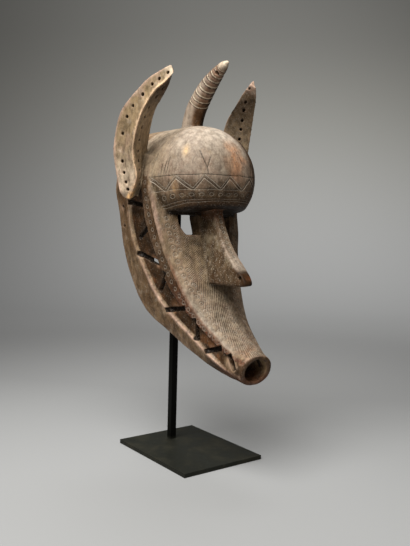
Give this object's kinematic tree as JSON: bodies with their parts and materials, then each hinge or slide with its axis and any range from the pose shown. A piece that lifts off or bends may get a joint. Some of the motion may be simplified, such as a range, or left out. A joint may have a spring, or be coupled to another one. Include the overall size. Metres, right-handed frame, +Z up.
{
  "type": "hyena mask on stand",
  "caption": "Carved wooden hyena mask with domed forehead, crescent ears, curved horn and long pierced jaws, held upright by a square post on a flat steel base.",
  "frame": {"origin": "on the floor under the base plate, in the middle plane of the mask and midway along the plate's depth", "axes": "+Z up; the face looks along -Y; X runs across the mask"},
  "size_m": [0.238, 0.2512, 0.5793],
  "materials": {
    "carved_wood": "worn, smoke darkened, incised",
    "black_steel": "matt black"
  },
  "bodies": {
    "root": {"mask": "carved_wood", "base_plate": "black_steel", "post": "black_steel", "cradle": "black_steel"}
  },
  "joints": []
}
